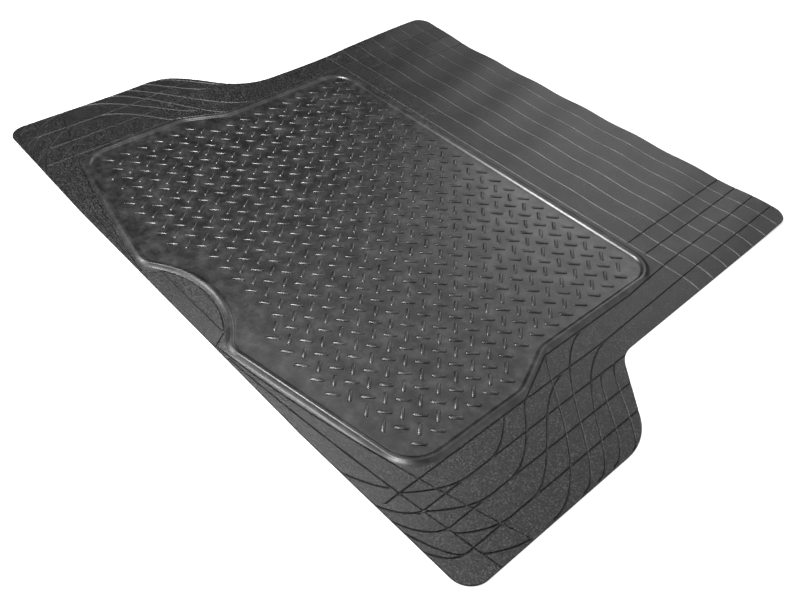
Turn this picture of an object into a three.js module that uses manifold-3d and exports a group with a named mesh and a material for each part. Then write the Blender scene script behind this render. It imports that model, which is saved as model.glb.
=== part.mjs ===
import * as THREE from "three";
import { mergeGeometries, mergeVertices } from "three/addons/utils/BufferGeometryUtils.js";
import Module from "manifold-3d";

const wasm = await Module();
wasm.setup();

// A trim-to-fit car boot liner, moulded in one piece of black rubber and lying flat.
// Millimetres. X runs across the car, Y from the tailgate edge to the seat edge, Z up.

// Overall sheet
const overallWidth = 1400;
const overallDepth = 1094;
const sheetThickness = 2.5;

// Outline: half widths from the centre line, at the waist beside the wheel arches and at the seats
const rightWaistHalf = 563;
const leftWaistHalf = 549;
const rightSeatHalf = 548;
const leftSeatHalf = 552;
const waistFromSeat = 579;
const rightShoulderDrop = 119;
const leftShoulderDrop = 135;
const rightShoulderRadius = 105;
const leftShoulderRadius = 90;
const rightWaistRadius = 57;
const leftWaistRadius = 170;
const sheetCornerRadius = 37;
const crownRise = 8.5;
const crownHalf = 351;

// Tray line, which runs just inside the foot of the lip
const trayWideHalf = 494.5;
const trayWaistHalf = 451.6;
const traySeatMargin = 370;
const trayTailgateMargin = 36;
const trayHeadDrop = 99;
const trayShoulderDepth = 96;
const trayCornerRise = 62.5;
const trayCornerRadius = 50;
const traySeatRadius = 35;
const trayShoulderRadius = 47;

// Latch arch, where the lip bends inward at the middle of the tailgate edge
const archHalf = 144;
const archHeight = 107;
const archTipRadius = 215;
const archFootRadius = 32;
const archGrooveHalf = 101;
const archGrooveFoot = 124;

// Raised lip round the tray, hollow underneath with the same wall as the sheet
const lipFoot = 10.5;
const lipHeight = 4.5;
const lipInnerRun = 4.5;
const lipCrest = 2;
const lipOuterRun = 10.5;

// Checker bars on the tray floor: narrow lozenges at 45 degrees to the car, crowned in the middle
const barLength = 26;
const barWidth = 7;
const barHeight = 2;
const barPitchAcross = 39.57;
const barPitchAlong = 39;
const barCentre = 5;
const barSeatGap = 14.7;
const barFootGap = 13;
const barTailgateGap = 40;
const barArchHalf = 130;
const barArchGap = 25;

// V-shaped trim grooves in the flange
const grooveWidth = 3.2;
const grooveDepth = 1;
const footGrooveGap = 3;
const footGrooveLead = 120;
const innerColumnDrop = 60;
const curveInset = 3;

// Grooves of the seat panel: rows across the car, and columns set in from each side edge
const seatRowEdge = 45.5;
const seatRowPitch = 47.65;
const seatRowBend = 40;
const seatRowDrop = 21;
const rightSeatColumnEdge = 42;
const rightSeatColumnPitch = 42;
const rightSeatColumns = 4;
const leftSeatColumnEdge = 62;
const leftSeatColumnPitch = 48;
const leftSeatColumns = 3;

// Grooves of the side wings: columns set in from the outer edge
const rightWingColumnEdge = 45.6;
const rightWingColumnPitch = 43.1;
const rightWingColumns = 4;
const leftWingColumnEdge = 61.6;
const leftWingColumnPitch = 56;
const leftWingColumns = 3;

// Two cutting lines that run from the latch arch to the side edges, as heights up from the tailgate
const cuttingLineStart = 3.2;
const upperLineKnee = [404, 35];
const upperLineEnd = 136;
const lowerLineLead = 32;
const lowerLineKnee = [400, 20];
const lowerLineEnd = 71;

// Facets: how far an arc may stand off its chords, and the chords in a curved groove
const arcSag = 0.9;
const sweepSteps = 5;
const bendSteps = 2;

// How far a cutter runs past the surface or the edge that it cuts
const cutOver = 1;
const edgeOver = 5;

// Derived places
const halfWidth = overallWidth / 2;
const seatEdge = overallDepth / 2;
const tailgateEdge = -overallDepth / 2;
const waistLine = seatEdge - waistFromSeat;
const traySeatEdge = seatEdge - traySeatMargin;
const trayTailgateEdge = tailgateEdge + trayTailgateMargin;
const trayHead = waistLine - trayHeadDrop;
const trayShoulder = trayHead - trayShoulderDepth;
const archTip = trayTailgateEdge + archHeight;
const lipCrestStart = lipFoot + lipInnerRun;
const lipCrestEnd = lipCrestStart + lipCrest;
const lipEnd = lipCrestEnd + lipOuterRun;
const footGroove = lipEnd + footGrooveGap;

// Closed body from a geometry, with its shared corners merged
function solid(geometry) {
  geometry.deleteAttribute("normal");
  geometry.deleteAttribute("uv");
  const merged = mergeVertices(geometry, 1e-4);
  return new wasm.Manifold(
    new wasm.Mesh({
      numProp: 3,
      vertProperties: merged.attributes.position.array,
      triVerts: new Uint32Array(merged.index.array),
    }),
  );
}

// Anticlockwise loop from corners of [x, y, radius]; each point keeps its outward normal
function filletedLoop(corners) {
  return corners.flatMap(([x, y, radius], index) => {
    const [beforeX, beforeY] = corners.at(index - 1);
    const [afterX, afterY] = corners[(index + 1) % corners.length];
    const arriving = new THREE.Vector2(x - beforeX, y - beforeY).normalize();
    const leaving = new THREE.Vector2(afterX - x, afterY - y).normalize();
    const turn = Math.atan2(arriving.cross(leaving), arriving.dot(leaving));
    const setback = radius * Math.tan(Math.abs(turn) / 2);
    const firstNormal = new THREE.Vector2(arriving.y, -arriving.x);
    const reach = Math.sign(turn) * radius;
    const start = new THREE.Vector2(x, y).addScaledVector(arriving, -setback);
    const centre = start.addScaledVector(firstNormal, -reach);
    const chordTurn = 2 * Math.acos(1 - arcSag / radius);
    const steps = Math.ceil(Math.abs(turn) / chordTurn);
    return Array.from({ length: steps + 1 }, (_, step) => {
      const normal = firstNormal.clone().rotateAround(new THREE.Vector2(), (turn * step) / steps);
      return { point: centre.clone().addScaledVector(normal, reach), normal };
    });
  });
}

// Body swept along a line of points with a profile of [outward, up] pairs,
// which runs anticlockwise seen against the line's direction
function sweep(line, profile, closed) {
  const position = line.flatMap(({ point, normal }) =>
    profile.flatMap(([out, up]) => [point.x + normal.x * out, point.y + normal.y * out, up]),
  );
  const count = profile.length;
  const corner = (station, place) => (station % line.length) * count + (place % count);
  const spans = closed ? line.length : line.length - 1;
  const index = [];
  for (let station = 0; station < spans; station++) {
    for (let place = 0; place < count; place++) {
      const here = corner(station, place);
      const beside = corner(station, place + 1);
      const next = corner(station + 1, place);
      const nextBeside = corner(station + 1, place + 1);
      index.push(here, next, nextBeside, here, nextBeside, beside);
    }
  }
  if (!closed) {
    for (let place = 1; place < count - 1; place++) {
      index.push(corner(0, 0), corner(0, place), corner(0, place + 1));
      index.push(corner(spans, 0), corner(spans, place + 1), corner(spans, place));
    }
  }
  const geometry = new THREE.BufferGeometry();
  geometry.setAttribute("position", new THREE.Float32BufferAttribute(position, 3));
  geometry.setIndex(index);
  return solid(geometry);
}

// Sheet
const outline = filletedLoop([
  [-crownHalf, tailgateEdge, sheetCornerRadius],
  [crownHalf, tailgateEdge, sheetCornerRadius],
  [halfWidth, tailgateEdge + crownRise, sheetCornerRadius],
  [halfWidth, waistLine - rightShoulderDrop, rightShoulderRadius],
  [rightWaistHalf, waistLine, rightWaistRadius],
  [rightSeatHalf, seatEdge, sheetCornerRadius],
  [-leftSeatHalf, seatEdge, sheetCornerRadius],
  [-leftWaistHalf, waistLine, leftWaistRadius],
  [-halfWidth, waistLine - leftShoulderDrop, leftShoulderRadius],
  [-halfWidth, tailgateEdge + crownRise, sheetCornerRadius],
]);
const sheetShape = new THREE.Shape(outline.map(({ point }) => point));
const sheet = solid(
  new THREE.ExtrudeGeometry(sheetShape, { depth: sheetThickness, bevelEnabled: false }),
);

// Tray line, from the latch arch round to the seats and back
const rightTrayCorners = [
  [archHalf, trayTailgateEdge, archFootRadius],
  [trayWideHalf, trayTailgateEdge + trayCornerRise, trayCornerRadius],
  [trayWideHalf, trayShoulder, trayShoulderRadius],
  [trayWaistHalf, trayHead, trayShoulderRadius],
  [trayWaistHalf, traySeatEdge, traySeatRadius],
];
const leftTrayCorners = rightTrayCorners.map(([x, y, radius]) => [-x, y, radius]).reverse();
const tray = filletedLoop([...rightTrayCorners, ...leftTrayCorners, [0, archTip, archTipRadius]]);

// Lip: a ridge on the sheet, with a channel of the same wall beneath it
const ridge = sweep(
  tray,
  [
    [lipFoot, sheetThickness],
    [lipEnd, sheetThickness],
    [lipCrestEnd, sheetThickness + lipHeight],
    [lipCrestStart, sheetThickness + lipHeight],
  ],
  true,
);
const innerShift = sheetThickness * Math.tan(Math.atan(lipHeight / lipInnerRun) / 2);
const outerShift = sheetThickness * Math.tan(Math.atan(lipHeight / lipOuterRun) / 2);
const channel = sweep(
  tray,
  [
    [lipFoot + innerShift, 0],
    [lipEnd - outerShift, 0],
    [lipCrestEnd - outerShift, lipHeight],
    [lipCrestStart + innerShift, lipHeight],
  ],
  true,
);

// V-groove cutter along a path, mitred where it bends, at full width on the sheet's surface.
// Side is 1 for a path as drawn and -1 for its mirror image across the car.
const grooveReach = (grooveWidth / 2) * (1 + cutOver / grooveDepth);
const grooveProfile = [
  [-grooveReach, sheetThickness + cutOver],
  [0, sheetThickness - grooveDepth],
  [grooveReach, sheetThickness + cutOver],
];
function groove(path, steps, side) {
  const points = path.getPoints(steps).map(({ x, y }) => new THREE.Vector2(side * x, y));
  const runs = points.slice(1).map((point, index) => point.clone().sub(points[index]).normalize());
  const line = points.map((point, index) => {
    const before = runs[Math.max(index - 1, 0)];
    const after = runs[Math.min(index, runs.length - 1)];
    const along = before.clone().add(after).normalize();
    const mitre = 1 / along.dot(after);
    return { point, normal: new THREE.Vector2(along.y * mitre, -along.x * mitre) };
  });
  return sweep(line, grooveProfile, false);
}

// Path from [x, y] through straight runs to [x, y] and bends to [kneeX, kneeY, x, y]
function bentPath([start, ...runs]) {
  const path = new THREE.Path().moveTo(...start);
  for (const run of runs) {
    if (run.length === 2) path.lineTo(...run);
    else path.quadraticCurveTo(...run);
  }
  return path;
}

// Path that leaves and arrives along Y, with a lead at each end
function leadPath([startX, startY, startLead, endX, endY, endLead]) {
  const path = new THREE.Path().moveTo(startX, startY);
  return path.bezierCurveTo(startX, startY - startLead, endX, endY + endLead, endX, endY);
}

// Heights counted up from the tailgate edge, and down from the waist
const rise = (distance) => tailgateEdge + distance;
const drop = (distance) => waistLine - distance;
const series = (count, first, pitch) => Array.from({ length: count }, (_, n) => first + n * pitch);

// Seat panel rows, which fill the panel down to the lip and bend into the right side edge
const panelDepth = traySeatMargin - footGroove - seatRowEdge;
const rows = series(Math.floor(panelDepth / seatRowPitch) + 1, seatRowEdge, seatRowPitch);
const rowLines = rows.map((fromSeat) => {
  const y = seatEdge - fromSeat;
  const bendStart = rightSeatHalf - seatRowBend;
  const edge = rightWaistHalf + edgeOver;
  return bentPath([
    [-leftSeatHalf - edgeOver, y],
    [bendStart, y],
    [edge - edgeOver, y, edge, y - seatRowDrop],
  ]);
});
const lastRow = seatEdge - rows.at(-1);

// Foot of the lip where the grooves follow it
const footX = trayWaistHalf + footGroove;
const shoulderTurn = Math.atan2(trayWideHalf - trayWaistHalf, trayShoulderDepth);
const shoulderShift = footGroove * Math.tan(shoulderTurn / 2);
const footHead = trayHead - shoulderShift;
const footShoulder = trayShoulder - shoulderShift;

// Right wing columns from the outside in, and the wing's swept cutting lines
const [r1, r2, r3, r4] = series(
  rightWingColumns,
  halfWidth - rightWingColumnEdge,
  -rightWingColumnPitch,
);
const outside = halfWidth - curveInset;
const right = {
  waistHalf: rightWaistHalf,
  seatHalf: rightSeatHalf,
  insets: series(rightSeatColumns, rightSeatColumnEdge, rightSeatColumnPitch),
  columns: [
    [r1, 45],
    [r2, 53],
    [r3, 41],
    [r4, 18],
  ],
  leads: [
    [r3, drop(26), 26, outside, drop(150), 31],
    [r3, drop(59), 31, outside, drop(197), 51],
    [r4, drop(-17), 129, outside, drop(232), 56],
    [footX, drop(-2), 118, outside, drop(267), 63],
    [footX, drop(100), 23, outside, drop(334), 102],
    [r4, drop(96), 101, r1, drop(334), 72],
    [r4, footShoulder, 11, r2, drop(334), 62],
    [r4, drop(250), 5, r3, drop(334), 42],
  ],
  bends: [
    [[outside, rise(135)], [outside - 5, rise(101), outside - 26, rise(68)]],
    [[r1, rise(139)], [r1, rise(101), r1 - 30, rise(61)]],
    [[r2, rise(142)], [r2, rise(104), r2 - 41, rise(51)]],
    [[r3, rise(142)], [r3, rise(101), r3 - 41, rise(47)]],
    [[r1, rise(53)], [r1, rise(21), r1 - 46, rise(3)]],
    [[r1, rise(49)], [r1 - 2, rise(30), r1 - 84, rise(3)]],
    [[r2, rise(61)], [r2 - 4, rise(25), r2 - 63, rise(3)]],
    [[r3, rise(52)], [r3 - 4, rise(25), r3 - 52, rise(3)]],
    [[r4 - 14, rise(41)], [r4 - 26, rise(24), r4 - 88, rise(-1)]],
  ],
};

// Left wing, with wider columns and fewer of them
const [l1, l2, l3] = series(leftWingColumns, halfWidth - leftWingColumnEdge, -leftWingColumnPitch);
const left = {
  waistHalf: leftWaistHalf,
  seatHalf: leftSeatHalf,
  insets: series(leftSeatColumns, leftSeatColumnEdge, leftSeatColumnPitch),
  columns: [
    [l1, 45],
    [l2, 48],
    [l3, 18],
  ],
  leads: [
    [l2, drop(29), 31, outside, drop(154), 20],
    [l2, drop(61), 55, outside, drop(182), 17],
    [footX, drop(-2), 100, outside, drop(224), 25],
    [footX, drop(88), 40, outside, drop(267), 43],
    [l3, drop(140), 40, outside, drop(338), 75],
    [l3, footShoulder, 20, l1, drop(334), 70],
  ],
  bends: [
    [
      [outside, rise(135)],
      [outside - 5, rise(77), outside - 50, rise(57)],
      [outside - 61, rise(27), outside - 105, rise(2)],
    ],
    [[l1, rise(139)], [l1 - 6, rise(97), l1 - 55, rise(51)], [l1 - 72, rise(22), l1 - 100, rise(-1)]],
    [[l2, rise(142)], [l2 - 6, rise(92), l2 - 58, rise(47)], [l2 - 77, rise(25), l2 - 120, rise(-2)]],
    [[l1, rise(58)], [l1 - 28, rise(17), l1 - 95, rise(-1)]],
    [[l2, rise(43)], [l2 - 37, rise(19), l2 - 94, rise(0)]],
    [[halfWidth, rise(53)], [outside - 33, rise(23), outside - 72, rise(3)]],
  ],
};

// Grooves of one side, drawn on the right
function sideLines({ waistHalf, seatHalf, insets, columns, leads, bends }) {
  const beyond = seatEdge + edgeOver;
  const inner = columns.at(-1)[0];
  const beside = (y, inset) =>
    THREE.MathUtils.lerp(seatHalf, waistHalf, (seatEdge - y) / waistFromSeat) - inset;
  const seatColumns = insets.map((inset) => {
    const line = [
      [beside(beyond, inset), beyond],
      [beside(lastRow, inset), lastRow],
    ];
    const gap = beside(lastRow, inset) - footX;
    if (Math.abs(gap) < seatRowPitch / 3) {
      return [...line, [footX, lastRow - footGrooveLead], [footX, footHead], [inner, footShoulder]];
    }
    return gap > 0 ? [...line, [inner, waistLine], [inner, drop(innerColumnDrop)]] : line;
  });
  const wingColumns = columns.map(([x, end]) => [
    [x, x > waistHalf ? waistLine + edgeOver : drop(innerColumnDrop)],
    [x, rise(end)],
  ]);
  const upper = [
    [archGrooveFoot, rise(cuttingLineStart)],
    [upperLineKnee[0], rise(upperLineKnee[1]), halfWidth + edgeOver, rise(upperLineEnd)],
  ];
  const lower = [
    [archGrooveFoot + lowerLineLead, rise(cuttingLineStart)],
    [lowerLineKnee[0], rise(lowerLineKnee[1]), halfWidth + edgeOver, rise(lowerLineEnd)],
  ];
  return [
    ...[...seatColumns, ...wingColumns, ...bends].map((line) => [bentPath(line), bendSteps]),
    ...leads.map((line) => [leadPath(line), sweepSteps]),
    [bentPath(upper), sweepSteps],
    [bentPath(lower), sweepSteps],
  ];
}

// Latch groove, concentric with the arch, and the chord that closes it
const archTurn = Math.atan2(archHeight, archHalf);
const archCentre = archTip - archTipRadius / Math.cos(archTurn);
const archGrooveRadius = archTipRadius - footGroove;
const archGrooveTurn = Math.asin(archGrooveHalf / archGrooveRadius);
const chord = archCentre + archGrooveRadius * Math.cos(archGrooveTurn);
const latch = new THREE.Path().moveTo(archGrooveFoot, tailgateEdge - edgeOver);
latch.absarc(
  0,
  archCentre,
  archGrooveRadius,
  Math.PI / 2 - archGrooveTurn,
  Math.PI / 2 + archGrooveTurn,
  false,
);
latch.lineTo(-archGrooveFoot, tailgateEdge - edgeOver);
const chordLine = bentPath([
  [-archGrooveHalf, chord],
  [archGrooveHalf, chord],
]);

// One checker bar, standing on the floor with its crest above the middle
const barCorners = [
  [-barLength / 2, 0, sheetThickness],
  [0, -barWidth / 2, sheetThickness],
  [barLength / 2, 0, sheetThickness],
  [0, barWidth / 2, sheetThickness],
  [0, 0, sheetThickness + barHeight],
];
const barFaces = [0, 2, 1, 0, 3, 2, 0, 1, 4, 1, 2, 4, 2, 3, 4, 3, 0, 4];

// Whether a place, counted from the middle of the bars, is inside the tray line and clear of it
const trayEdges = tray.map(({ point }, index) => {
  const next = tray[(index + 1) % tray.length].point;
  return new THREE.Line3(new THREE.Vector3(point.x, point.y), new THREE.Vector3(next.x, next.y));
});
function onFloor(x, y) {
  const centre = new THREE.Vector3(x, y);
  let crossings = 0;
  for (const edge of trayEdges) {
    const nearest = edge.closestPointToPoint(centre, true, new THREE.Vector3());
    if (nearest.distanceTo(centre) < barFootGap) return false;
    const { start, end } = edge;
    const share = (y - start.y) / (end.y - start.y);
    if (share >= 0 && share < 1 && x < start.x + share * (end.x - start.x)) crossings += 1;
  }
  return crossings % 2 === 1;
}

// Two interleaved grids of bars, turned opposite ways, a little to the right of the centre line.
// Rows beside the latch arch keep clear of it, and bars outside the waist's width start half way
// down the tray's shoulder.
const firstBarRow = traySeatEdge - barSeatGap;
const lastBarRow = trayTailgateEdge + barTailgateGap;
const archField = archCentre + archTipRadius + barArchGap;
const shoulderMiddle = (trayHead + trayShoulder) / 2;
const barsAcross = Math.ceil(trayWideHalf / barPitchAcross);
const bars = [];
for (let row = 0; firstBarRow - (row * barPitchAlong) / 2 > lastBarRow; row++) {
  const y = firstBarRow - (row * barPitchAlong) / 2;
  const turn = row % 2 === 0 ? Math.PI / 4 : -Math.PI / 4;
  for (let place = -barsAcross; place <= barsAcross; place++) {
    const across = (place + (turn < 0 ? 0.5 : 0)) * barPitchAcross;
    const besideArch = y < archField && Math.abs(across) < barArchHalf;
    const onShoulder = y > shoulderMiddle && Math.abs(across) > trayWaistHalf;
    if (besideArch || onShoulder || !onFloor(across, y)) continue;
    const bar = new THREE.BufferGeometry();
    bar.setAttribute("position", new THREE.Float32BufferAttribute(barCorners.flat(), 3));
    bar.setIndex(barFaces);
    bars.push(bar.rotateZ(turn).translate(barCentre + across, y, 0));
  }
}

// One moulding: the sheet with its lip and bars, cut by the channel and the grooves
const middleCuts = [...rowLines, latch, chordLine].map((path) => groove(path, bendSteps, 1));
const rightCuts = sideLines(right).map(([path, steps]) => groove(path, steps, 1));
const leftCuts = sideLines(left).map(([path, steps]) => groove(path, steps, -1));
let moulding = sheet.add(solid(mergeGeometries(bars))).add(ridge);
for (const cut of [channel, ...middleCuts, ...rightCuts, ...leftCuts]) {
  moulding = moulding.subtract(cut);
}

const mesh = moulding.getMesh();
const geometry = new THREE.BufferGeometry();
geometry.setAttribute("position", new THREE.BufferAttribute(mesh.vertProperties, 3));
geometry.setIndex(new THREE.BufferAttribute(mesh.triVerts, 1));
geometry.computeVertexNormals();
const rubber = new THREE.MeshStandardMaterial({ color: 0x2c2d2f, roughness: 0.82, metalness: 0 });
const liner = new THREE.Mesh(geometry, rubber);
liner.name = "boot_liner";

const part = new THREE.Group();
part.add(liner);

export default part;
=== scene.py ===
import math

import bpy
import numpy as np
from mathutils.geometry import delaunay_2d_cdt
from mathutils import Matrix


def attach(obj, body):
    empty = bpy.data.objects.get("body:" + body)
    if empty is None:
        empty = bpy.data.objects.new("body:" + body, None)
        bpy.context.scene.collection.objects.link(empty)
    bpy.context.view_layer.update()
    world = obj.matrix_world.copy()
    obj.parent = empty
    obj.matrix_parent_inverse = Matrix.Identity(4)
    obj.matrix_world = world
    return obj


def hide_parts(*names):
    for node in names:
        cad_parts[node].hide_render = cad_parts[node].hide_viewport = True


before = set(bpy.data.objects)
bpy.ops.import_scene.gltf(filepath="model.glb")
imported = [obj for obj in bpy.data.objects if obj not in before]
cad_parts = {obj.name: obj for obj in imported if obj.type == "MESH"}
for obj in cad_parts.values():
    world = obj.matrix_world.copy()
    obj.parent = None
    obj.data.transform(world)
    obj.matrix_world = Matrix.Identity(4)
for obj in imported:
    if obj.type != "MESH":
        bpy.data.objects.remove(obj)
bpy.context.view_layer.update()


# Sheet
# The liner is one sheet of black rubber, compression moulded 2.5 mm thick.
# Its outline steps in beside the wheel arches, and its moulded edge is slightly rounded.
# Shapes are worked out in millimetres, with X across the car and Y towards the seats.
half_width = 700.0
seat_edge = 547.0
tailgate_edge = -547.0
sheet = 2.5
edge_round = 0.7
corner_radius = 37
# The tailgate edge is straight over its middle and rises a little to its corners.
tailgate_half = 351
corner_rise = 8.5
waist_depth = 579
waist_line = seat_edge - waist_depth
# Distances of the sides from the middle, at the waist beside the wheel arches and at the seats
right_waist = 563
left_waist = 549
right_seat = 548
left_seat = 552
# Spacing of the points along the outline and the lip
edge_spacing = 11.0
turn_step = math.radians(6)


def rounded_loop(corners, spacing):
    """Anticlockwise loop of x, y and outward normal, from corners of (x, y, radius)."""
    points = []
    for place, (x, y, radius) in enumerate(corners):
        corner = np.array([x, y], float)
        arriving = corner - np.array(corners[place - 1][:2], float)
        leaving = np.array(corners[(place + 1) % len(corners)][:2], float) - corner
        arriving /= np.linalg.norm(arriving)
        leaving /= np.linalg.norm(leaving)
        turn = math.atan2(arriving[0] * leaving[1] - arriving[1] * leaving[0], arriving @ leaving)
        first = np.array([arriving[1], -arriving[0]])
        reach = math.copysign(radius, turn)
        centre = corner - arriving * radius * math.tan(abs(turn) / 2) - first * reach
        steps = max(2, math.ceil(abs(turn) / turn_step), math.ceil(abs(turn) * radius / spacing))
        for step in range(steps + 1):
            angle = turn * step / steps
            normal = np.array([first[0] * math.cos(angle) - first[1] * math.sin(angle),
                               first[0] * math.sin(angle) + first[1] * math.cos(angle)])
            points.append(np.concatenate([centre + normal * reach, normal]))
    filled = []
    for here, after in zip(points, points[1:] + points[:1]):
        straight = here[2:] @ after[2:] >= 0.99999
        parts = max(1, round(np.linalg.norm(after[:2] - here[:2]) / spacing)) if straight else 1
        filled += [here + (after - here) * part / parts for part in range(parts)]
    return np.array(filled)


outline = rounded_loop([
    (-tailgate_half, tailgate_edge, corner_radius),
    (tailgate_half, tailgate_edge, corner_radius),
    (half_width, tailgate_edge + corner_rise, corner_radius),
    (half_width, waist_line - 119, 105),
    (right_waist, waist_line, 57),
    (right_seat, seat_edge, corner_radius),
    (-left_seat, seat_edge, corner_radius),
    (-left_waist, waist_line, 170),
    (-half_width, waist_line - 135, 90),
    (-half_width, tailgate_edge + corner_rise, corner_radius),
], edge_spacing)


# Lip
# A hollow lip is pressed up out of the same sheet round the tray, to hold spills in.
# It has a steep inner wall and a rounded crest, and its outer slope eases out into the flange.
tray_wide = 494.5
tray_waist = 451.6
tray_seat = 177
tray_head = -131
tray_shoulder = -227
tray_corner = -448.5
tray_near = -511
arch_foot = 144
arch_tip = -404
lip_height = 4.0
# The lip's section: distances outside the tray's outline, and the share of its height there
lip_profile_out = [9.5, 11, 13, 15, 17, 18.5, 20, 22, 24, 26, 28, 29]
lip_profile_share = [0, 0.2, 0.6, 0.86, 0.98, 1, 0.91, 0.63, 0.4, 0.21, 0.06, 0]
lip_rounding = 0.8
rounding_samples = 7
# Where rows of points follow the lip
lip_rows = [8.2, 9.3, 10.4, 11.5, 12.6, 13.7, 14.8, 15.9, 17, 18.1,
            19.2, 20.3, 21.4, 22.5, 23.6, 24.8, 26.2, 27.6, 28.6]

right_tray = [
    (arch_foot, tray_near, 32),
    (tray_wide, tray_corner, 50),
    (tray_wide, tray_shoulder, 47),
    (tray_waist, tray_head, 47),
    (tray_waist, tray_seat, 35),
]
left_tray = [(-x, y, radius) for x, y, radius in reversed(right_tray)]
tray = rounded_loop(right_tray + left_tray + [(0, arch_tip, 215)], edge_spacing)


def lip_at(out):
    """Height of the lip above the sheet, by the distance outside the tray's outline."""
    shifts = np.linspace(-lip_rounding, lip_rounding, rounding_samples)
    shares = [np.interp(out + shift, lip_profile_out, lip_profile_share) for shift in shifts]
    return lip_height * np.mean(shares, axis=0)


# Trim grooves
# Shallow grooves are moulded into the flange, as guides for the knife that trims it to the car.
# Rows and columns cross the seat panel, and curves sweep round the two wings.
groove_half = 1.6
groove_depth = 1.25
groove_rows = [-groove_half, 0, groove_half]
groove_spacing = 9.0
past_edge = 5
row_count = 7
row_inset = 45.5
row_pitch = 47.65
# A row runs straight across to here, and then dips towards the right side.
row_bend = 508
row_dip = 21
# One groove follows the lip's foot beside the waist, and columns that come near run on into it.
foot_out = 30.5
foot_fall = 6.5
foot_join = 16
foot_merge = 120
inner_head = 60
side_inset = 3


def rise(distance):
    """Y of a place by its distance above the tailgate edge."""
    return tailgate_edge + distance


def drop(distance):
    """Y of a place by its distance below the waist line."""
    return waist_line - distance


def bent(start, *runs):
    """Points from start through straight runs of (x, y) and bends of (knee x, knee y, x, y)."""
    points = [np.array(start, float)]
    for run in runs:
        first, last = points[-1], np.array(run[-2:], float)
        knee = np.array(run[:2], float) if len(run) == 4 else (first + last) / 2
        steps = max(1, math.ceil(np.linalg.norm(last - first) / groove_spacing))
        for step in range(1, steps + 1):
            t = step / steps
            points.append((1 - t) ** 2 * first + 2 * t * (1 - t) * knee + t * t * last)
    return np.array(points)


def lead(x, y, leaving, end_x, end_y, arriving):
    """Points of a curve that leaves and arrives along Y, with a lead at each end."""
    start, start_lead = np.array([x, y], float), np.array([x, y - leaving], float)
    end, end_lead = np.array([end_x, end_y], float), np.array([end_x, end_y + arriving], float)
    steps = math.ceil(np.linalg.norm(end - start) / groove_spacing)
    t = np.linspace(0, 1, steps + 1)[:, None]
    return ((1 - t) ** 3 * start + 3 * t * (1 - t) ** 2 * start_lead
            + 3 * t * t * (1 - t) * end_lead + t ** 3 * end)


row_heights = [seat_edge - row_inset - row_pitch * n for n in range(row_count)]
last_row = row_heights[-1]
foot_x = tray_waist + foot_out
foot_head = tray_head - foot_fall
foot_shoulder = tray_shoulder - foot_fall
grooves = [
    bent((-left_seat - past_edge, y), (row_bend, y), (right_waist, y, right_waist + past_edge, y - row_dip))
    for y in row_heights
]


def beside(waist, seat, y, inset):
    """X of a point that lies in from the seat panel's side, at height y."""
    return seat + (waist - seat) * (seat_edge - y) / waist_depth - inset


def side_grooves(waist, seat, insets, columns, leads, bends):
    """Grooves of one side, drawn on the right.

    Insets place the seat panel's columns from its side. Columns are the wing's, each with its end above
    the tailgate edge. Leads and bends hold what the functions lead and bent take.
    """
    beyond = seat_edge + past_edge
    inner = columns[-1][0]
    lines = []
    for inset in insets:
        line = [(beside(waist, seat, y, inset), y) for y in (beyond, last_row)]
        gap = line[1][0] - foot_x
        if abs(gap) < foot_join:
            line += [(foot_x, last_row - foot_merge), (foot_x, foot_head), (inner, foot_shoulder)]
        elif gap > 0:
            line += [(inner, waist_line), (inner, drop(inner_head))]
        lines.append(bent(*line))
    for x, end in columns:
        head = waist_line + past_edge if x > waist else drop(inner_head)
        lines.append(bent((x, head), (x, rise(end))))
    lines += [bent(*line) for line in bends] + [lead(*line) for line in leads]
    # Two long sweeps leave the tailgate edge near its middle and rise to the side.
    lines.append(bent((124, rise(3.2)), (404, rise(35), half_width + past_edge, rise(136))))
    lines.append(bent((156, rise(3.2)), (400, rise(20), half_width + past_edge, rise(71))))
    return lines


# The outermost grooves run just in from the sides. A side's columns are named from its edge inwards.
outside = half_width - side_inset
edge_column, outer_column, middle_column, inner_column = 654.4, 611.3, 568.2, 525.1
grooves += side_grooves(
    right_waist, right_seat, [42, 84, 126, 168],
    [(edge_column, 45), (outer_column, 53), (middle_column, 41), (inner_column, 18)],
    [
        (middle_column, drop(26), 26, outside, drop(150), 31),
        (middle_column, drop(59), 31, outside, drop(197), 51),
        (inner_column, drop(-17), 129, outside, drop(232), 56),
        (foot_x, drop(-2), 118, outside, drop(267), 63),
        (foot_x, drop(100), 23, outside, drop(334), 102),
        (inner_column, drop(96), 101, edge_column, drop(334), 72),
        (inner_column, foot_shoulder, 11, outer_column, drop(334), 62),
        (inner_column, drop(250), 5, middle_column, drop(334), 42),
    ],
    [
        [(outside, rise(135)), (outside - 5, rise(101), outside - 26, rise(68))],
        [(edge_column, rise(139)), (edge_column, rise(101), edge_column - 30, rise(61))],
        [(outer_column, rise(142)), (outer_column, rise(104), outer_column - 41, rise(51))],
        [(middle_column, rise(142)), (middle_column, rise(101), middle_column - 41, rise(47))],
        [(edge_column, rise(53)), (edge_column, rise(21), edge_column - 46, rise(3))],
        [(edge_column, rise(49)), (edge_column - 2, rise(30), edge_column - 84, rise(3))],
        [(outer_column, rise(61)), (outer_column - 4, rise(25), outer_column - 63, rise(3))],
        [(middle_column, rise(52)), (middle_column - 4, rise(25), middle_column - 52, rise(3))],
        [(inner_column - 14, rise(41)), (inner_column - 26, rise(24), inner_column - 88, rise(-1))],
    ],
)
edge_column, middle_column, inner_column = 638.4, 582.4, 526.4
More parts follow.
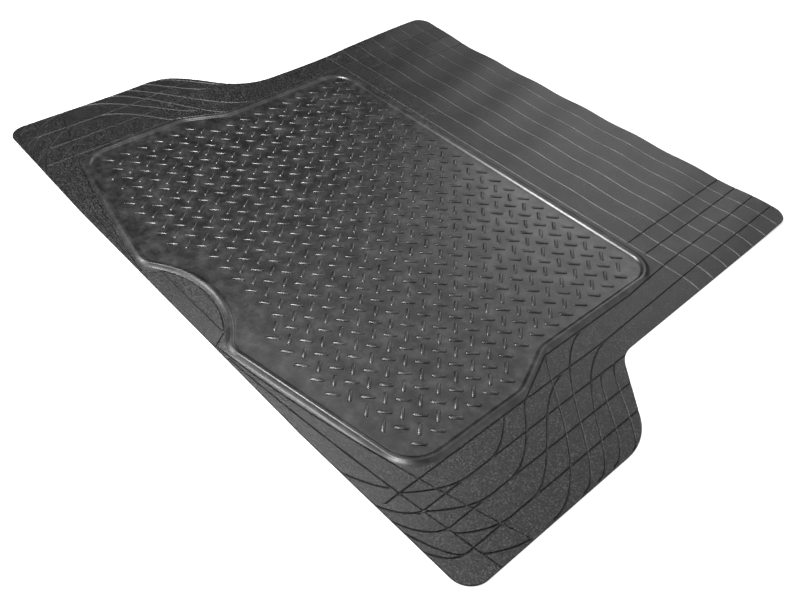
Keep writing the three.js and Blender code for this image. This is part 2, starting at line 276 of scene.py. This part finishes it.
left_lines = side_grooves(
    left_waist, left_seat, [62, 110, 158],
    [(edge_column, 45), (middle_column, 48), (inner_column, 18)],
    [
        (middle_column, drop(29), 31, outside, drop(154), 20),
        (middle_column, drop(61), 55, outside, drop(182), 17),
        (foot_x, drop(-2), 100, outside, drop(224), 25),
        (foot_x, drop(88), 40, outside, drop(267), 43),
        (inner_column, drop(140), 40, outside, drop(338), 75),
        (inner_column, foot_shoulder, 20, edge_column, drop(334), 70),
    ],
    [
        [(outside, rise(135)), (outside - 5, rise(77), outside - 50, rise(57)),
         (outside - 61, rise(27), outside - 105, rise(2))],
        [(edge_column, rise(139)), (edge_column - 6, rise(97), edge_column - 55, rise(51)),
         (edge_column - 72, rise(22), edge_column - 100, rise(-1))],
        [(middle_column, rise(142)), (middle_column - 6, rise(92), middle_column - 58, rise(47)),
         (middle_column - 77, rise(25), middle_column - 120, rise(-2))],
        [(edge_column, rise(58)), (edge_column - 28, rise(17), edge_column - 95, rise(-1))],
        [(middle_column, rise(43)), (middle_column - 37, rise(19), middle_column - 94, rise(0))],
        [(half_width, rise(53)), (outside - 33, rise(23), outside - 72, rise(3))],
    ],
)
grooves += [line * [-1, 1] for line in left_lines]

# Latch groove, concentric with the arch in the lip, and the chord that closes it
arch_centre = -671.8
arch_radius = 184.5
arch_points = 25
chord_half = 101
latch_foot = 124
arch_turn = math.asin(chord_half / arch_radius)
latch_turns = np.linspace(arch_turn, -arch_turn, arch_points)[:, None]
latch_arc = np.hstack([arch_radius * np.sin(latch_turns), arch_centre + arch_radius * np.cos(latch_turns)])
grooves.append(np.vstack([
    bent((latch_foot, tailgate_edge - past_edge), tuple(latch_arc[0])),
    latch_arc[1:-1],
    bent(tuple(latch_arc[-1]), (-latch_foot, tailgate_edge - past_edge)),
]))
grooves.append(bent(tuple(latch_arc[-1]), tuple(latch_arc[0])))


def offset_line(line, out):
    """The line moved sideways, mitred where it bends."""
    runs = np.diff(line, axis=0)
    runs /= np.linalg.norm(runs, axis=1)[:, None]
    before = np.vstack([runs[:1], runs])
    after = np.vstack([runs, runs[-1:]])
    along = before + after
    along /= np.linalg.norm(along, axis=1)[:, None]
    mitre = 1 / np.sum(along * after, axis=1)
    return line + out * mitre[:, None] * np.stack([along[:, 1], -along[:, 0]], axis=1)


# Checker bars
# Bars of rubber with round ends stand on the tray floor at 45 degrees, in two grids turned
# opposite ways. They are moulded with the floor and keep loads from sliding. Each has a rounded
# crown that eases down at both ends.
bar_length = 26.0
bar_width = 7.0
bar_height = 2.1
pitch_across = 39.57
pitch_along = 39.0
first_bar_row = 162.3
last_bar_row = -471
bar_rows = 34
bars_each_side = 13
# The pattern is a little right of the middle, and keeps clear of the lip and of its latch arch.
bar_shift = 5.0
bar_clearance = 13
extra_place = -11
latch_clear_out = 240
latch_clear_half = 130
bar_end_run = 5.5
bar_foot_run = 0.6
# Rings of points round each bar, by how far they lie from its middle line
bar_rings = [bar_width / 2 + 0.8, bar_width / 2, 3.05, 2.3, 1.2]
end_steps = 5

# Distances are measured up to 60 mm, for one small patch of points at a time.
reach_most = 60.0
tile = 50.0
tile_points = 250


def nearest(points, starts, ends):
    """Distance from each point to the nearest of the segments, up to 60 mm."""
    points = np.asarray(points, float)
    found = np.full(len(points), reach_most)
    low, high = np.minimum(starts, ends) - reach_most, np.maximum(starts, ends) + reach_most
    order = np.lexsort((points[:, 0], points[:, 1] // tile))
    for first in range(0, len(points), tile_points):
        chosen = order[first:first + tile_points]
        block = points[chosen]
        near = np.all((high > block.min(axis=0)) & (low < block.max(axis=0)), axis=1)
        if near.any():
            along = (ends - starts)[near]
            gap = block[:, None, :] - starts[near][None]
            share = np.sum(gap * along, axis=2) / np.maximum(np.sum(along * along, axis=1), 1e-9)
            gap -= np.clip(share, 0, 1)[..., None] * along
            found[chosen] = np.minimum(reach_most, np.sqrt(np.min(np.sum(gap * gap, axis=2), axis=1)))
    return found


def inside(points, loop):
    """Whether each point is inside the closed loop."""
    odd = np.zeros(len(points), bool)
    for (ax, ay), (bx, by) in zip(loop, np.roll(loop, -1, axis=0)):
        if ay != by:
            level = (ay > points[:, 1]) != (by > points[:, 1])
            odd ^= level & (points[:, 0] < ax + (bx - ax) * (points[:, 1] - ay) / (by - ay))
    return odd


tray_xy = tray[:, :2]
tray_next = np.roll(tray_xy, -1, axis=0)


def out_of_tray(points):
    """Distance outside the tray's outline, negative inside it."""
    return nearest(points, tray_xy, tray_next) * np.where(inside(points, tray_xy), -1, 1)


places = []
for row in range(bar_rows):
    y = first_bar_row - row * pitch_along / 2
    turn = math.pi / 4 if row % 2 == 0 else -math.pi / 4
    for place in range(-bars_each_side, bars_each_side + 1):
        x = (place + (0.5 if turn < 0 else 0)) * pitch_across
        by_latch = y < arch_centre + latch_clear_out and abs(x) < latch_clear_half
        on_shoulder = y > (tray_head + tray_shoulder) / 2 and abs(x) > tray_waist
        if not by_latch and not on_shoulder and y > last_bar_row:
            places.append((x, y, turn))
places = np.array(places)
clear = out_of_tray(places[:, :2]) < -bar_clearance
# One more bar stands at the left end of the first row, closer to the lip than the rest.
by_extra = np.abs(places[:, 0] - extra_place * pitch_across) < 1
extra = by_extra & (np.abs(places[:, 1] - first_bar_row) < 1)
places = places[clear | extra]
places[:, 0] += bar_shift
spine_half = (bar_length - bar_width) / 2
spine = np.stack([np.cos(places[:, 2]), np.sin(places[:, 2])], axis=1) * spine_half
bar_starts = places[:, :2] - spine
bar_ends = places[:, :2] + spine


def stadium(reach):
    """Ring round a bar's spine, for a bar along X at the origin."""
    angles = np.linspace(-math.pi / 2, math.pi / 2, end_steps + 1)
    end = np.stack([spine_half + reach * np.cos(angles), reach * np.sin(angles)], axis=1)
    return np.vstack([end, -end])


# Moulding
# The sheet, lip, grooves and bars are one surface. The real liner came out of its box folded,
# so its seat panel waves a little and its left side doesn't lie quite flat.
grid_spacing = 13.0
grid_clearance = 4.5
# Points nearer than these are joined, on the top and on the underside.
weld = 1e-4
under_weld = 1e-5
# The left side rises towards the seats, its wing bulges, the right corner by the seats lifts a little
# and the seat panel waves.
wave_length = 150.0
wave_height = 1.3
left_lift = 12.0
arch_lift = 9.0
corner_lift = 4.5
crease_angle = 24
# The flange's grain gives way to the tray's smoother skin at the lip's outer foot.
skin_start, skin_end = 27, 29
long_groove = 240


def ramp(value, low, high):
    """Smooth step from 0 at low to 1 at high."""
    t = np.clip((value - low) / (high - low), 0, 1)
    return t * t * (3 - 2 * t)


def warp(x, y):
    """How far the sheet stands clear of the boot floor."""
    side = left_lift * ramp(-x, 380, 560) * ramp(y, 130, 540)
    arch = arch_lift * np.exp(-((x + 640) / 95) ** 2 - ((y + 110) / 110) ** 2)
    corner = corner_lift * ramp(x, 380, 560) * ramp(y, 370, 547)
    phase = 2 * math.pi * x / wave_length + 0.9 * np.sin(y / 70)
    wave = wave_height * (1 + np.sin(phase)) * ramp(y, 205, 300)
    return side + arch + corner + wave


def add_line(points, edges, line, closed):
    """Adds a line's points, and the edges that the surface has to follow."""
    first = len(points)
    points.extend(map(tuple, line))
    count = len(line)
    edges.extend((first + n, first + (n + 1) % count) for n in range(count if closed else count - 1))


outline_xy = outline[:, :2]
outline_next = np.roll(outline_xy, -1, axis=0)


def filling(spacing, rows):
    """Grid of points inside the outline, clear of it and of the lip's rows."""
    grid = np.array([(x, y)
                     for x in np.arange(-half_width, half_width, spacing)
                     for y in np.arange(tailgate_edge, seat_edge, spacing)])
    grid = grid[inside(grid, outline_xy)]
    grid = grid[nearest(grid, outline_xy, outline_next) > grid_clearance]
    out = out_of_tray(grid)
    return grid[(out < rows[0] - grid_clearance) | (out > rows[-1] + grid_clearance)]


points, edges = [], []
add_line(points, edges, outline_xy, True)
add_line(points, edges, outline_xy - outline[:, 2:] * edge_round, True)
for out in lip_rows:
    add_line(points, edges, tray_xy + tray[:, 2:] * out, True)
for line in grooves:
    for out in groove_rows:
        add_line(points, edges, offset_line(line, out), False)
for x, y, turn in places:
    along = np.array([math.cos(turn), math.sin(turn)])
    across = np.array([-along[1], along[0]])
    for reach in bar_rings:
        ring = stadium(reach)
        add_line(points, edges, np.array([x, y]) + ring[:, :1] * along + ring[:, 1:] * across, True)
    middle_line = np.array([[-spine_half], [0.0], [spine_half]]) * along
    add_line(points, edges, np.array([x, y]) + middle_line, False)


def groove_distance(points, lines):
    """Distance from each point to the nearest of the grooves in lines."""
    starts, ends = [line[:-1] for line in lines], [line[1:] for line in lines]
    return nearest(points, np.vstack(starts), np.vstack(ends))


grid = filling(grid_spacing, lip_rows)
grid = grid[groove_distance(grid, grooves) > grid_clearance]
grid = grid[nearest(grid, bar_starts, bar_ends) > bar_width / 2 + grid_clearance]
points.extend(map(tuple, grid))

flat, _, triangles, _, _, _ = delaunay_2d_cdt(points, edges, [], 0, weld, False)
flat = np.array([tuple(point) for point in flat])
triangles = np.array(triangles)
middles = flat[triangles].mean(axis=1)
triangles = triangles[inside(middles, outline_xy)]
used, triangles = np.unique(triangles, return_inverse=True)
triangles = triangles.reshape(-1, 3)
flat = flat[used]

# The rim is every edge that only one triangle uses, followed round anticlockwise.
sides = np.vstack([triangles[:, [0, 1]], triangles[:, [1, 2]], triangles[:, [2, 0]]])
pairs = {tuple(side) for side in sides.tolist()}
after = {a: b for a, b in pairs if (b, a) not in pairs}
rim = [min(after)]
while after[rim[-1]] != rim[0]:
    rim.append(after[rim[-1]])

out = out_of_tray(flat)
spine_gap = nearest(flat, bar_starts, bar_ends)
groove_gap = groove_distance(flat, grooves)
# Each point on a bar is measured along and across that bar.
bar_top = np.zeros(len(flat))
on_bar = np.flatnonzero(spine_gap < bar_width / 2)
for first in range(0, len(on_bar), tile_points):
    chosen = on_bar[first:first + tile_points]
    gap = flat[chosen, None, :] - places[None, :, :2]
    own = np.argmin(np.sum(gap * gap, axis=2), axis=1)
    gap = gap[np.arange(len(chosen)), own]
    cos, sin = np.cos(places[own, 2]), np.sin(places[own, 2])
    along = np.abs(gap[:, 0] * cos + gap[:, 1] * sin)
    across = np.abs(gap[:, 1] * cos - gap[:, 0] * sin)
    crown = np.sqrt(np.clip(1 - (2 * across / bar_width) ** 2, 0, 1))
    end = 1 - np.clip(1 - (bar_length / 2 - along) / bar_end_run, 0, 1) ** 2
    foot = (bar_width / 2 - spine_gap[chosen]) / bar_foot_run
    bar_top[chosen] = bar_height * np.clip(np.minimum(crown * end, foot), 0, 1)
top = sheet + warp(flat[:, 0], flat[:, 1]) + lip_at(out) + bar_top
top -= groove_depth * np.clip(1 - groove_gap / groove_half, 0, 1)
top[rim] -= edge_round

# Underside, with the channel under the lip and the same rim
channel_rows = [8.5, 10.5, 12, 13.5, 15, 16, 17, 19, 21, 23, 25, 27, 28.5]
under_points, under_edges = [], []
add_line(under_points, under_edges, flat[rim], True)
for out_row in channel_rows:
    add_line(under_points, under_edges, tray_xy + tray[:, 2:] * out_row, True)
under_points.extend(map(tuple, filling(2 * grid_spacing, channel_rows)))
under, _, under_triangles, origins, _, _ = delaunay_2d_cdt(
    under_points, under_edges, [], 0, under_weld, True)
under = np.array([tuple(point) for point in under])
under_triangles = np.array(under_triangles)
under_triangles = under_triangles[inside(under[under_triangles].mean(axis=1), flat[rim])]
under_rim = {}
for place, sources in enumerate(origins):
    for source in sources:
        under_rim[source] = place
under_out = out_of_tray(under)
bottom = warp(under[:, 0], under[:, 1]) + lip_at(under_out)

vertices = np.vstack([np.column_stack([flat, top]), np.column_stack([under, bottom])]) / 1000
faces = triangles.tolist() + (under_triangles[:, ::-1] + len(flat)).tolist()
for n in range(len(rim)):
    follow = (n + 1) % len(rim)
    faces.append([rim[follow], rim[n], len(flat) + under_rim[n], len(flat) + under_rim[follow]])

mesh = bpy.data.meshes.new("boot_liner_moulding")
mesh.from_pydata(vertices.tolist(), [], faces)
mesh.polygons.foreach_set("use_smooth", [True] * len(faces))
mesh.set_sharp_from_angle(angle=math.radians(crease_angle))


def add_share(name, upper, lower):
    """A share from 0 to 1 at each point of the top and of the underside, for the material."""
    share = np.concatenate([upper, lower]).astype(np.float32)
    mesh.attributes.new(name, "FLOAT", "POINT").data.foreach_set("value", share)


add_share("tray_floor", 1 - ramp(out, skin_start, skin_end), 1 - ramp(under_out, skin_start, skin_end))
# Painted shade: grooves spanning less than 240 mm across the car are darkened in colour where shade falls
# in them. Longer ones stay unpainted to catch the light.
shaded_grooves = [line for line in grooves if np.ptp(line[:, 0]) < long_groove]
add_share("groove", 1 - ramp(groove_distance(flat, shaded_grooves), 0, groove_half), np.zeros(len(under)))
mesh.update()
liner = bpy.data.objects.new("liner_moulding", mesh)
bpy.context.scene.collection.objects.link(liner)


def linear(code):
    """An sRGB hex colour as linear red, green, blue and alpha."""
    shares = [int(code[n:n + 2], 16) / 255 for n in (1, 3, 5)]
    return [s / 12.92 if s <= 0.04045 else ((s + 0.055) / 1.055) ** 2.4 for s in shares] + [1]


def node(tree, kind, inputs=None, **settings):
    """A node with its settings, and its sockets set or linked."""
    made = tree.nodes.new(kind)
    for name, value in settings.items():
        setattr(made, name, value)
    for socket, value in (inputs or {}).items():
        if isinstance(value, bpy.types.NodeSocket):
            tree.links.new(value, made.inputs[socket])
        else:
            made.inputs[socket].default_value = value
    return made


# Natural and SBR rubber filled with carbon black, moulded against an etched tool. The etching
# leaves a fine grain on the flange and a smoother, slightly glossier tray floor.
rubber = bpy.data.materials.new("moulded_black_rubber")
rubber.use_nodes = True
tree = rubber.node_tree
tree.nodes.clear()
position = node(tree, "ShaderNodeTexCoord").outputs["Object"]
floor_share = node(tree, "ShaderNodeAttribute", attribute_name="tray_floor").outputs["Fac"]
painted_groove_shade = node(tree, "ShaderNodeAttribute", attribute_name="groove").outputs["Fac"]
# The real grain is about 0.5 mm. It is drawn 3.2 mm wide, which is as fine as the picture shows.
grain_width = 0.0032
grain = node(tree, "ShaderNodeTexNoise", {
    "Vector": position, "Scale": 1 / grain_width, "Detail": 3.0, "Roughness": 0.75}).outputs["Fac"]
# Talc and handling leave paler patches some 30 mm across.
patch_width = 0.03
patches = node(tree, "ShaderNodeTexNoise", {
    "Vector": position, "Scale": 1 / patch_width, "Detail": 5.0, "Roughness": 0.7}).outputs["Fac"]
grain_range = node(tree, "ShaderNodeMapRange", {
    "Value": grain, "From Min": 0.5, "From Max": 0.7}).outputs["Result"]
patch_range = node(tree, "ShaderNodeMapRange", {
    "Value": patches, "From Min": 0.35, "From Max": 0.68}).outputs["Result"]
flange_colour = node(tree, "ShaderNodeMix", {
    "Factor": grain_range, "A": linear("#020202"), "B": linear("#4c4c4c"),
}, data_type="RGBA").outputs["Result"]
floor_colour = node(tree, "ShaderNodeMix", {
    "Factor": patch_range, "A": linear("#0a0a0a"), "B": linear("#323232"),
}, data_type="RGBA").outputs["Result"]
skin = node(tree, "ShaderNodeMix", {
    "Factor": floor_share, "A": flange_colour, "B": floor_colour,
}, data_type="RGBA").outputs["Result"]
tone = node(tree, "ShaderNodeMix", {
    "Factor": patch_range, "A": linear("#a8a8a8"), "B": linear("#ffffff"),
}, data_type="RGBA").outputs["Result"]
worn = node(tree, "ShaderNodeMix", {
    "Factor": 1.0, "A": skin, "B": tone,
}, data_type="RGBA", blend_type="MULTIPLY").outputs["Result"]
# Painted shade: the colour turns to #0c0c0c along the short grooves, standing in for the shade in them.
colour = node(tree, "ShaderNodeMix", {
    "Factor": painted_groove_shade, "A": worn, "B": linear("#0c0c0c"),
}, data_type="RGBA").outputs["Result"]
# The tray's smoother skin has a shallower grain and is a little glossier.
depth = node(tree, "ShaderNodeMapRange", {
    "Value": floor_share, "To Min": 1.0, "To Max": 0.2}).outputs["Result"]
bump = node(tree, "ShaderNodeBump", {
    "Height": grain, "Strength": depth, "Distance": 0.0006}).outputs["Normal"]
smoothest = node(tree, "ShaderNodeMapRange", {
    "Value": floor_share, "To Min": 0.30, "To Max": 0.29}).outputs["Result"]
roughest = node(tree, "ShaderNodeMapRange", {
    "Value": floor_share, "To Min": 0.50, "To Max": 0.35}).outputs["Result"]
roughness = node(tree, "ShaderNodeMapRange", {
    "Value": grain, "From Min": 0.4, "From Max": 0.6, "To Min": smoothest, "To Max": roughest,
}).outputs["Result"]
gloss = node(tree, "ShaderNodeMapRange", {
    "Value": floor_share, "To Min": 0.4, "To Max": 0.5}).outputs["Result"]
shader = node(tree, "ShaderNodeBsdfPrincipled", {
    "Base Color": colour, "Roughness": roughness, "IOR": 1.52, "Specular IOR Level": gloss, "Normal": bump})
node(tree, "ShaderNodeOutputMaterial", {"Surface": shader.outputs["BSDF"]})
mesh.materials.append(rubber)

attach(liner, "root")
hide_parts("boot_liner")


# Studio
# A matt white studio floor lies just under the liner and reaches out of view. It glows for camera,
# glossy and transmission rays alone, so it shows as plain white and keeps a faint shadow.
floor_reach = 8.0
floor_height = -0.0004
floor_glow = 0.62
floor_corners = [(-floor_reach, -floor_reach), (floor_reach, -floor_reach),
                 (floor_reach, floor_reach), (-floor_reach, floor_reach)]
floor_mesh = bpy.data.meshes.new("studio_floor")
floor_mesh.from_pydata([(x, y, floor_height) for x, y in floor_corners], [], [(0, 1, 2, 3)])
floor = bpy.data.objects.new("studio_floor", floor_mesh)
bpy.context.scene.collection.objects.link(floor)
white = bpy.data.materials.new("matt_white_studio_floor")
white.use_nodes = True
tree = white.node_tree
tree.nodes.clear()
rays = node(tree, "ShaderNodeLightPath").outputs
direct = node(tree, "ShaderNodeMath", {
    0: rays["Is Camera Ray"], 1: rays["Is Glossy Ray"]}, operation="ADD").outputs[0]
seen = node(tree, "ShaderNodeMath", {
    0: direct, 1: rays["Is Transmission Ray"]}, operation="ADD", use_clamp=True).outputs[0]
glow = node(tree, "ShaderNodeMath", {0: seen, 1: floor_glow}, operation="MULTIPLY").outputs[0]
lit = node(tree, "ShaderNodeBsdfDiffuse", {"Color": linear("#c8c8c8")})
shine = node(tree, "ShaderNodeEmission", {"Color": linear("#ffffff"), "Strength": glow})
both = node(tree, "ShaderNodeAddShader", {0: lit.outputs[0], 1: shine.outputs[0]})
node(tree, "ShaderNodeOutputMaterial", {"Surface": both.outputs[0]})
floor_mesh.materials.append(white)

# A wide soft box overhead is mirrored in the whole sheet and a smaller one behind in the seat panel.
# Small ones on the camera's left and over the near edge put the highlights on bars, lip and grooves.
# Places and sizes are in metres, and powers in watts.
world = bpy.data.worlds.new("studio_world")
bpy.context.scene.world = world
world.use_nodes = True
background = world.node_tree.nodes["Background"].inputs
background["Color"].default_value = linear("#ffffff")
background["Strength"].default_value = 0.12


def soft_box(name, place, size, power):
    """A soft box aimed at the middle of the liner."""
    lamp = bpy.data.lights.new(name, "AREA")
    lamp.shape = "RECTANGLE"
    lamp.size, lamp.size_y = size
    lamp.energy = power
    holder = bpy.data.objects.new(name, lamp)
    holder.location = place
    toward = -holder.location.normalized()
    holder.rotation_euler = toward.to_track_quat("-Z", "Y").to_euler()
    bpy.context.scene.collection.objects.link(holder)


soft_box("key_soft_box", (-0.65, -0.42, 1.75), (0.35, 0.35), 46)
soft_box("low_soft_box", (-1.55, -1.4, 1.6), (0.6, 0.6), 26)
soft_box("near_soft_box", (0.45, -0.9, 1.6), (0.25, 0.25), 18)
soft_box("overhead_soft_box", (0.3, 1.4, 1.9), (4.7, 2.2), 33)
soft_box("rear_soft_box", (-1.1, 2.7, 1.6), (1.5, 0.7), 12)

# The camera stands at the tailgate's right corner, looking down across the liner.
camera_data = bpy.data.cameras.new("camera")
camera_data.sensor_width = 36.0
camera_data.lens = 38.09
camera = bpy.data.objects.new("camera", camera_data)
camera.location = (1.0036, -0.9979, 1.0265)
camera.rotation_euler = [math.radians(angle) for angle in (46.6611, -2.6791, 47.9884)]
bpy.context.scene.collection.objects.link(camera)
bpy.context.scene.camera = camera
bpy.context.scene.view_settings.view_transform = "Standard"
